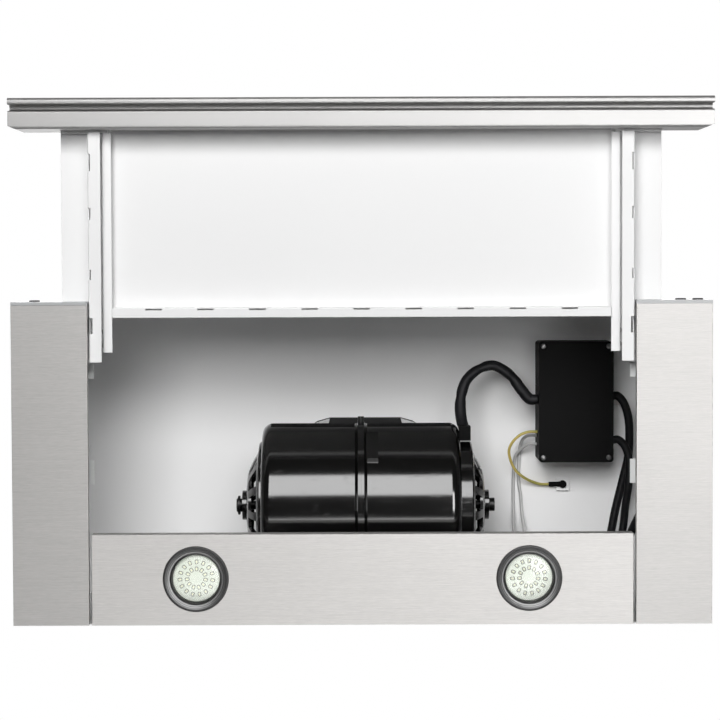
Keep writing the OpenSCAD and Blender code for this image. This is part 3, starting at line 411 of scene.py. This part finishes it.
def refined(node, fold=0.0, cut=0.00025, angle=30, segments=2):
    # the node's own solid with its folds and cut edges rounded, and those faces marked for wear and a painted edge
    # highlight
    work = bmesh.new()
    work.from_mesh(nodes[node].data)
    bmesh.ops.remove_doubles(work, verts=work.verts, dist=2e-6)
    bmesh.ops.dissolve_limit(work, angle_limit=math.radians(0.4), verts=work.verts, edges=work.edges)
    bmesh.ops.recalc_face_normals(work, faces=work.faces)
    layer = work.faces.layers.float.new("edge")
    limit = math.radians(angle)
    if fold:
        folds = [e for e in work.edges if len(e.link_faces) == 2 and e.calc_face_angle(0) > limit
                 and min(sheetWidth(f) for f in e.link_faces) > 1.6 * mm]
        outer = [e for e in folds if e.is_convex]
        if outer:
            roundEdges(work, outer, fold, 3, layer)
    if cut:
        sharp = [e for e in work.edges if len(e.link_faces) == 2 and e.calc_face_angle(0) > limit and e.is_convex]
        if sharp:
            roundEdges(work, sharp, cut, segments, layer)
    return work


def dressed(node, coats=None, **how):
    return piece(node + "_finished", refined(node, **how), node, coats, stands=[node])


def lathe(profile, centre, axis="z", steps=96, work=None):
    # profile: radius and height in millimetres; the axis points along the height
    work = work or bmesh.new()
    turn = {"z": Matrix.Identity(3), "x": Matrix.Rotation(math.pi / 2, 3, "Y"),
            "y": Matrix.Rotation(-math.pi / 2, 3, "X")}[axis]
    rings = []
    for radius, height in profile:
        if radius < 1e-6:
            rings.append([work.verts.new(centre + turn @ Vector((0, 0, height * mm)))])
            continue
        ring = []
        for k in range(steps):
            a = 2 * math.pi * k / steps
            spot = Vector((radius * math.cos(a), radius * math.sin(a), height))
            ring.append(work.verts.new(centre + turn @ (spot * mm)))
        rings.append(ring)
    faces = []
    for low, high in zip(rings, rings[1:]):
        for k in range(steps):
            n = (k + 1) % steps
            if len(low) == 1:
                faces.append(work.faces.new((low[0], high[n], high[k])))
            elif len(high) == 1:
                faces.append(work.faces.new((low[k], low[n], high[0])))
            else:
                faces.append(work.faces.new((low[k], low[n], high[n], high[k])))
    bmesh.ops.recalc_face_normals(work, faces=work.faces)
    return work


def smoothRoute(points, step):
    # Catmull-Rom curve through the points, sampled at an even step
    closed = [points[0] * 2 - points[1], *points, points[-1] * 2 - points[-2]]
    fine = []
    for i in range(1, len(closed) - 2):
        a, b, c, d = closed[i - 1:i + 3]
        for k in range(24):
            t = k / 24
            bend, sway = 2 * a - 5 * b + 4 * c - d, 3 * b - a - 3 * c + d
            fine.append(0.5 * ((2 * b) + (c - a) * t + bend * t * t + sway * t ** 3))
    fine.append(points[-1].copy())
    even, carry = [fine[0]], 0.0
    for a, b in zip(fine, fine[1:]):
        length = (b - a).length
        while carry + length >= step and length > 0:
            t = (step - carry) / length
            a = a.lerp(b, t)
            length *= 1 - t
            carry = 0.0
            even.append(a.copy())
        carry += length
    if (even[-1] - points[-1]).length > step * 0.4:
        even.append(points[-1].copy())
    else:
        even[-1] = points[-1].copy()
    return even


def tube(work, points, radius, sides=20, step=0.0012, shape=None, twist=0.0):
    # a swept cord; shape(along, angle) scales the radius, and "stripe" says where a spiral stripe runs
    layer = work.verts.layers.float.get("stripe") or work.verts.layers.float.new("stripe")
    path = smoothRoute(points, step)
    side = None
    rings = []
    for i, spot in enumerate(path):
        heading = (path[min(i + 1, len(path) - 1)] - path[max(i - 1, 0)]).normalized()
        if side is None:
            side = heading.orthogonal().normalized()
        side = (side - heading * side.dot(heading)).normalized()
        other = heading.cross(side)
        along = i * step
        ring = []
        for k in range(sides):
            a = 2 * math.pi * k / sides
            r = radius * (shape(along, a) if shape else 1.0)
            vert = work.verts.new(spot + (side * math.cos(a) + other * math.sin(a)) * r)
            vert[layer] = math.cos(a - twist * along)
            ring.append(vert)
        rings.append(ring)
    for low, high in zip(rings, rings[1:]):
        for k in range(sides):
            n = (k + 1) % sides
            work.faces.new((low[k], low[n], high[n], high[k]))
    work.faces.new(rings[0][::-1])
    work.faces.new(rings[-1])
    return work


def screwHead(work, centre, axis, radius, rise, slot, depth):
    # a domed head with a pressed cross; the axis points out of the seat
    axis = axis.normalized()
    side = axis.orthogonal().normalized()
    other = axis.cross(side)
    rings, sectors = 12, 48
    grid = []
    for i in range(rings + 1):
        row = []
        r = radius * i / rings
        for k in range(sectors if i else 1):
            a = 2 * math.pi * k / sectors
            u, v = r * math.cos(a), r * math.sin(a)
            height = rise * math.sqrt(max(0.0, 1 - (r / radius) ** 2 * 0.92))
            inArm = min(abs(u), abs(v)) < slot * 0.5 and max(abs(u), abs(v)) < radius * 0.62
            row.append(work.verts.new(centre + side * u + other * v + axis * (height - (depth if inArm else 0))))
        grid.append(row)
    rim = [work.verts.new(v.co - axis * (v.co - centre).dot(axis)) for v in grid[-1]]
    grid.append(rim)
    for i in range(rings + 1):
        low, high = grid[i], grid[i + 1]
        for k in range(sectors):
            n = (k + 1) % sectors
            if len(low) == 1:
                work.faces.new((low[0], high[k], high[n]))
            else:
                work.faces.new((low[k], high[k], high[n], low[n]))
    work.faces.new(rim[::-1])


def slab(work, outline, low, high, place, coat=0):
    # a flat shape in millimetres, raised between two heights and moved by a matrix
    bottom = [work.verts.new(place @ Vector((x * mm, y * mm, low * mm))) for x, y in outline]
    top = [work.verts.new(place @ Vector((x * mm, y * mm, high * mm))) for x, y in outline]
    faces = [work.faces.new(bottom[::-1]), work.faces.new(top)]
    for k in range(len(outline)):
        n = (k + 1) % len(outline)
        faces.append(work.faces.new((bottom[k], bottom[n], top[n], top[k])))
    for face in faces:
        face.material_index = coat
    return faces


def roundedOutline(width, depth, corner, steps=4):
    points = []
    for cx, cy, start in ((1, 1, 0), (-1, 1, 90), (-1, -1, 180), (1, -1, 270)):
        for k in range(steps + 1):
            a = math.radians(start + 90 * k / steps)
            points.append((cx * (width / 2 - corner) + corner * math.cos(a),
                           cy * (depth / 2 - corner) + corner * math.sin(a)))
    return points


# Sheet metal, visor and drawer

sheetWork = {"fold": 0.0012, "cut": 0.00025}  # radii of the folds and of the cut edges, in metres
visorWork = {"cut": 0.0002, "angle": 32}
plugWork = {"cut": 0.0003, "angle": 32}
mouldedWork = {"cut": 0.0005, "segments": 3}
foldedSheets = ["side_wall_left", "side_wall_right", "side_cover_left", "side_cover_right", "lamp_panel",
                "drawer_rail_left", "drawer_rail_right", "filter_bracket_left", "filter_bracket_right",
                "cross_member", "side_box_left", "side_box_right"]
flatSheets = ["roof_panel", "front_wall", "rear_wall", "drawer_pan", "visor_lips"]
# the lamp panel takes the brighter copy of the cover steel: painted light
for node in foldedSheets:
    dressed(node, ["panel_steel"] if node == "lamp_panel" else None, **sheetWork)
for node in flatSheets:
    dressed(node, cut=sheetWork["cut"])
dressed("visor_profile", **visorWork)
dressed("visor_plugs", **plugWork)
for node in ("front_cap_left", "front_cap_right", "slide_guide_left", "slide_guide_right"):
    dressed(node, **mouldedWork)
print("sheets, visor and drawer made")

# Blower

housingWork = {"cut": 0.0005, "angle": 34}
housingNeck = {"facing": -0.97}  # faces that point further to the front than this get the duller finish
smallWork = {"cut": 0.0004, "angle": 34}
# the tab's height, the sleeve's end and the insulated tongue between sleeve and screw, in millimetres
terminal = {"cut": 0.0003, "angle": 34, "tab": 181.4, "sleeve": 181.0, "low": 179.4, "high": 181.6,
            "tongue": [(181.5, 172.4), (185.5, 171.8), (185.5, 177.2), (181.5, 176.6)]}
for node in ("inlet_guard_left", "inlet_guard_right", "duct_spigot"):
    dressed(node, **housingWork)
for node in ("fan_housing_left", "fan_housing_right"):
    work = refined(node, **housingWork)
    for face in work.faces:
        face.material_index = 1 if face.normal.y < housingNeck["facing"] else 0
    piece(node + "_finished", work, node, [slotOf[node], "neck_black"], stands=[node])
for node in ("outlet_flange", "terminal_block"):
    dressed(node, ["neck_black"], **housingWork)
for node in ("shaft_bushes", "fan_shaft", "flap_pin", "flap_front", "flap_rear", "control_box_base",
             "control_box_lid", "switch_block", "cable_gland", "lamp_cans", "circuit_board"):
    dressed(node, **smallWork)
work = refined("earth_terminal", cut=terminal["cut"], angle=terminal["angle"])
for face in work.faces:
    spot = face.calc_center_median()
    face.material_index = 1 if spot.z < at(0, 0, terminal["tab"]).z or spot.x < terminal["sleeve"] * mm else 0
slab(work, terminal["tongue"], terminal["low"], terminal["high"], Matrix.Translation(at(0, 0, 0)), 1)
piece("earth_terminal_finished", work, "earth_terminal", ["white_paint", "box_black"],
      stands=["earth_terminal"])
print("blower, duct and control box made")

# Lamps

lamp = {"x": 142.6, "y": 237.3}
bezelProfile = [  # radius and height, from the cup's top down, round the ring and back up
    (24.5, 26), (24.5, 0.02), (28.2, 0.02), (28.2, -0.6), (27.9, -1.25), (27.3, -1.55), (26.6, -1.6),
    (26.1, -1.45), (25.4, -0.95), (24.4, -0.4), (23.4, 0.05), (22.5, 0.3), (22.1, 0.25), (21.8, 0.0),
    (21.4, -0.15), (21.0, 0.1), (20.8, 0.8), (20.7, 1.8), (20.7, 5.5), (23.0, 5.6), (23.0, 26), (24.5, 26),
]
lensProfile = [(0, -0.6), (4, -0.5), (8, -0.17), (12, 0.4), (15.5, 1.08), (18, 1.66), (19.6, 2.15),
               (20.3, 2.55), (20.5, 3.0), (20.5, 3.5), (19.5, 3.5), (0, 3.5)]
# each ring has a radius and a number of chips; a chip's layers are a dark rim of painted shade round it,
# its body and its die, each with width, depth, corner, low, high and material
ledBoard = {"radius": 20.1, "low": 6.0, "high": 7.6, "chamfer": 0.2, "rings": ((8.0, 11), (14.1, 15)), "turn": 0.3,
            "layers": ((3.9, 2.9, 0.9, 5.8, 6.02, 2), (2.9, 1.9, 0.6, 5.3, 5.9, 0), (1.5, 0.9, 0.4, 5.22, 5.4, 1))}


def fineProfile(profile, parts):
    out = []
    for (r0, h0), (r1, h1) in zip(profile, profile[1:]):
        out += [(r0 + (r1 - r0) * k / parts, h0 + (h1 - h0) * k / parts) for k in range(parts)]
    return out + [profile[-1]]


boards = bmesh.new()
for side, name in ((-1, "left"), (1, "right")):
    middle = at(side * lamp["x"], lamp["y"], 0)
    bezel, lens = "lamp_bezel_" + name, "lamp_lens_" + name
    piece(bezel + "_spun", lathe(bezelProfile, middle), bezel, stands=[bezel])
    piece(lens + "_domed", lathe(fineProfile(lensProfile, 2), middle), lens, stands=[lens])
    reach, low, high, chamfer = (ledBoard[key] for key in ("radius", "low", "high", "chamfer"))
    lathe([(0, low), (reach - chamfer, low), (reach, low + chamfer), (reach, high), (0, high)], middle, work=boards)
    for ring, chips in ledBoard["rings"]:
        for k in range(chips):
            spin = Matrix.Rotation(2 * math.pi * (k + ledBoard["turn"]) / chips, 4, "Z")
            seat = Matrix.Translation(middle) @ spin @ Matrix.Translation((ring * mm, 0, 0))
            for width, depth, corner, bottom, top, coat in ledBoard["layers"]:
                slab(boards, roundedOutline(width, depth, corner), bottom, top, seat, coat)
piece("led_boards_with_chips", boards, "led_boards", ["led_white", "phosphor", "gel"], stands=["led_boards"],
      even=False)
print("lamps made")

# Screws, buttons and rubber stop

# shape: radius, rise, width and depth of the cross, in millimetres
lidScrews = {"x": (166.0, 225.8), "y": (44.4, 146.4), "z": 141.2, "shape": (2.55, 1.15, 0.9, 0.7)}
bracketScrews = {"x": 222.3, "y": (26, 38), "z": 23.5, "shape": (2.35, 1.6, 0.8, 0.7)}
buttons = {"z": 22, "x": {"button_fan": 274.4, "button_lamp": 289}}
stop = {"x": -281.4, "z": 22}
screws = bmesh.new()
for x in lidScrews["x"]:
    for y in lidScrews["y"]:
        screwHead(screws, at(x, y, lidScrews["z"]), Vector((0, 0, -1)), *(v * mm for v in lidScrews["shape"]))
piece("lid_screws_heads", screws, "lid_screws", stands=["lid_screws"], angle=50, even=False)
screws = bmesh.new()
for side in (-1, 1):
    for y in bracketScrews["y"]:
        screwHead(screws, at(side * bracketScrews["x"], y, bracketScrews["z"]), Vector((side, 0, 0)),
                  *(v * mm for v in bracketScrews["shape"]))
piece("bracket_screws_heads", screws, "bracket_screws", stands=["bracket_screws"], angle=50, even=False)
buttonProfile = [(0, -0.75), (1.6, -0.8), (3.0, -0.98), (3.7, -1.17), (4.1, -1.2), (4.45, -1.12), (4.65, -0.85),
                 (4.7, -0.5), (4.7, 3.25), (5.6, 3.3), (5.7, 3.4), (5.7, 4.2), (5.6, 4.3), (4.7, 4.3), (4.7, 7.2),
                 (4.6, 7.3), (0, 7.3)]
for node, x in buttons["x"].items():
    piece(node + "_moulded", lathe(buttonProfile, at(x, 0, buttons["z"]), "y"), node, stands=[node])
stopProfile = [(0, -1.1), (2.6, -1.2), (3.9, -1.15), (4.5, -0.85), (4.7, -0.4), (4.7, 0)]
piece("rubber_stop_moulded", lathe(stopProfile, at(stop["x"], 0, stop["z"]), "y"), "rubber_stop",
      stands=["rubber_stop"])
print("screws and buttons made")

# Wiring: each route repeats the frame's own points, in millimetres

routes = {
    "harness": [(161.8, 93, 150), (154, 93, 150), (146, 84, 148), (136, 71, 146), (121, 62, 143), (107, 65, 140),
                (96, 74, 137), (91, 86, 134), (89.5, 98, 131), (90, 108, 127), (91.5, 115.5, 121.5),
                (92.5, 119.2, 115), (92.5, 119.2, 110)],
    "earth": [(161.8, 124, 160), (154, 124, 160), (146, 127, 161), (139, 134, 163), (136, 142, 166), (138, 152, 169),
              (143, 161, 172), (151, 168, 175), (160, 172.5, 179), (167, 174.5, 180.8), (174, 174.5, 180.8)],
    "lampRight": [(161.8, 128, 170), (154.5, 128, 170), (149.5, 132, 175), (147, 140, 180), (146.5, 150, 183),
                  (146, 170, 183.3), (148, 186, 183.3), (149, 200, 182), (150, 214, 170), (149, 224, 140),
                  (147, 230, 95), (143.5, 236, 55), (142.6, 237.3, 40), (142.6, 237.3, 32)],
    "lampLeft": [(161.8, 136, 170), (154.5, 136, 170), (148, 141, 175), (143.5, 147, 180), (142, 154, 183),
                 (141, 172, 183.3), (141, 196, 182), (140, 214, 165), (137, 228, 120), (130, 240, 60),
                 (110, 250, 20), (80, 258, 8), (20, 262, 6), (-60, 262, 6), (-94, 260, 9), (-108, 257, 20),
                 (-118, 252, 36), (-130, 245, 46), (-139, 239.5, 46), (-142.6, 237.3, 40), (-142.6, 237.3, 32)],
    "supply": [(230, 91, 162), (236, 91, 162), (242, 98, 162), (246, 111, 162), (247, 128, 162), (246, 146, 161),
               (241, 166, 158), (236, 184, 154), (232, 199, 150), (229, 213, 147), (225.5, 229, 145),
               (221.5, 245, 148), (217.5, 254, 156), (216, 256, 164), (216, 256, 172)],
    "switches": [(230, 131, 151), (236, 131, 151), (242, 138, 150), (245, 150, 147), (244, 170, 141),
                 (240, 188, 131), (237, 204, 120), (234.5, 218, 115), (232.5, 230, 105), (232, 235, 95),
                 (232.5, 230, 85), (235, 218, 77.5), (239, 205, 73), (245, 190, 68), (250.5, 172, 59),
                 (254, 150, 49), (254, 130, 42), (254, 105, 38), (254, 72, 37), (257, 56, 37), (263, 50, 35),
                 (270, 44, 31), (274, 36, 26), (275, 28, 24), (275, 21, 24)],
}
sleeve = {"radius": 5.2, "flat": 0.1, "twist": 150, "pinch": 0.12, "pitch": 0.034, "crease": 0.05, "creases": 260}
leads = {"earth": 1.3, "lamp": 1.5, "supply": 3.8, "switches": 3.6}  # radii in millimetres


def route(name):
    return [at(*spot) for spot in routes[name]]


def sleeveShape(along, angle):
    flat = 1 - sleeve["flat"] * (0.5 - 0.5 * math.cos(2 * (angle - sleeve["twist"] * along * 0.25)))
    pinch = 1 - sleeve["pinch"] * max(0.0, math.cos(2 * math.pi * along / sleeve["pitch"])) ** 4
    spot = Vector((along * sleeve["creases"], math.cos(angle) * 1.6, math.sin(angle) * 1.6))
    crease = 1 - sleeve["crease"] * abs(noise.noise(spot))
    return flat * pinch * crease


def corded(name, node, runs, **how):
    work = bmesh.new()
    for run, radius in runs:
        tube(work, route(run), radius * mm, **how)
    piece(name, work, node, stands=[node], angle=60, even=False)


corded("motor_harness_sleeve", "motor_harness", [("harness", sleeve["radius"])], sides=36, shape=sleeveShape)
corded("earth_wire_striped", "earth_wire", [("earth", leads["earth"])], sides=16, twist=60)
corded("lamp_leads_round", "lamp_leads", [("lampRight", leads["lamp"]), ("lampLeft", leads["lamp"])], sides=12)
corded("supply_leads_round", "supply_leads", [("supply", leads["supply"]), ("switches", leads["switches"])], sides=20)
print("wiring made")

# Every node that still shows gets its finish
for name, node in nodes.items():
    node.data.materials.clear()
    node.data.materials.append(coatOf(slotOf[name]))

# Floor, world, lamps and camera

stage = {"floorDrop": 3.5, "floorHalf": 30, "floorLevel": 0.12, "seen": 0.98, "mirrored": 0.02, "horizon": 0.5,
         "ambient": 0.0}
# places in millimetres; without shine a lamp isn't mirrored, and without fill it is only mirrored
lights = {
    "fillLeft": {"at": (-600, -1100, -2600), "aim": (-600, -1100, 0), "size": (1.2, 1.6), "watts": 66, "shine": False},
    "fillRight": {"at": (600, -1400, -2600), "aim": (600, -1400, 0), "size": (1.2, 0.8), "watts": 27, "shine": False},
    "shineLeft": {"at": (-150, -833, -1336), "aim": (-150, -833, 0), "size": (0.9, 1.06), "watts": 16.5, "fill": False},
    "shineRight": {"at": (620, -80, -1336), "aim": (620, -80, 0), "size": (0.6, 0.7), "watts": 10.5, "fill": False},
    "shineRear": {"at": (50, 800, -1336), "aim": (50, 800, 0), "size": (1.4, 0.6), "watts": 9, "fill": False},
    "above": {"at": (-300, -500, 2200), "aim": (0, 100, 100), "size": (1.8, 1.8), "watts": 34},
    "behind": {"at": (900, 2300, 900), "aim": (0, 150, 100), "size": (1.6, 1.6), "watts": 30, "shine": False},
}
view = {"place": (-0.0016, -0.2063, -2.1327), "lens": 114.25, "sensor": 36, "tilt": 2.46, "roll": 0.2}

floorMesh = bpy.data.meshes.new("floor")
half = stage["floorHalf"]
floorMesh.from_pydata([(-half, -half, 0), (half, -half, 0), (half, half, 0), (-half, half, 0)], [], [(0, 1, 2, 3)])
floor = bpy.data.objects.new("floor", floorMesh)
floor.location.z = -stage["floorDrop"]
bpy.context.scene.collection.objects.link(floor)
paleFloor = Finish("paleFloor", {"Base Color": tone(stage["floorLevel"]), "Roughness": 0.9,
                                 "Emission Strength": 1.0})
rays = paleFloor.add("ShaderNodeLightPath").socket.node
seen = Signal(paleFloor, rays.outputs["Is Camera Ray"])
mirrored = paleFloor.maths("MAXIMUM", Signal(paleFloor, rays.outputs["Is Glossy Ray"]),
                           Signal(paleFloor, rays.outputs["Is Transmission Ray"]))
glow = paleFloor.colours(mirrored, tone(0), tone(stage["mirrored"]))
paleFloor.feed("Emission Color", paleFloor.colours(seen, glow, tone(stage["seen"])))
floorMesh.materials.append(paleFloor.material)

world = bpy.data.worlds.new("studio")
bpy.context.scene.world = world
world.use_nodes = True
studio = Finish("studio", tree=world.node_tree)
rays = studio.add("ShaderNodeLightPath").socket.node
seen = studio.maths("MAXIMUM", Signal(studio, rays.outputs["Is Camera Ray"]),
                    Signal(studio, rays.outputs["Is Transmission Ray"]))
mirrored = studio.colours(Signal(studio, rays.outputs["Is Glossy Ray"]), tone(stage["ambient"]),
                          tone(stage["horizon"]))
studio.join(world.node_tree.nodes["Background"].inputs["Color"], studio.colours(seen, mirrored, tone(1.0)))

for name, look in lights.items():
    data = bpy.data.lights.new(name, "AREA")
    data.shape = "RECTANGLE"
    data.size, data.size_y = look["size"]
    data.energy = look["watts"]
    lampObject = bpy.data.objects.new(name + "_softbox", data)
    lampObject.location = at(*look["at"])
    aim = at(*look["aim"]) - lampObject.location
    lampObject.rotation_mode = "QUATERNION"
    lampObject.rotation_quaternion = aim.to_track_quat("-Z", "Y")
    lampObject.visible_camera = False
    lampObject.visible_glossy = look.get("shine", True)
    lampObject.visible_diffuse = look.get("fill", True)
    bpy.context.scene.collection.objects.link(lampObject)

tilt = math.radians(view["tilt"])
cameraData = bpy.data.cameras.new("camera")
cameraData.lens, cameraData.sensor_width = view["lens"], view["sensor"]
cameraData.clip_end = 200
camera = bpy.data.objects.new("camera", cameraData)
camera.matrix_world = Matrix.Translation(view["place"]) @ Matrix((
    (1, 0, 0, 0), (0, -math.cos(tilt), -math.sin(tilt), 0), (0, math.sin(tilt), -math.cos(tilt), 0), (0, 0, 0, 1)))
camera.matrix_world @= Matrix.Rotation(-math.radians(view["roll"]), 4, "Z")
bpy.context.scene.collection.objects.link(camera)
bpy.context.scene.camera = camera
bpy.context.scene.view_settings.view_transform = "Standard"
print("stage, lights and camera made")
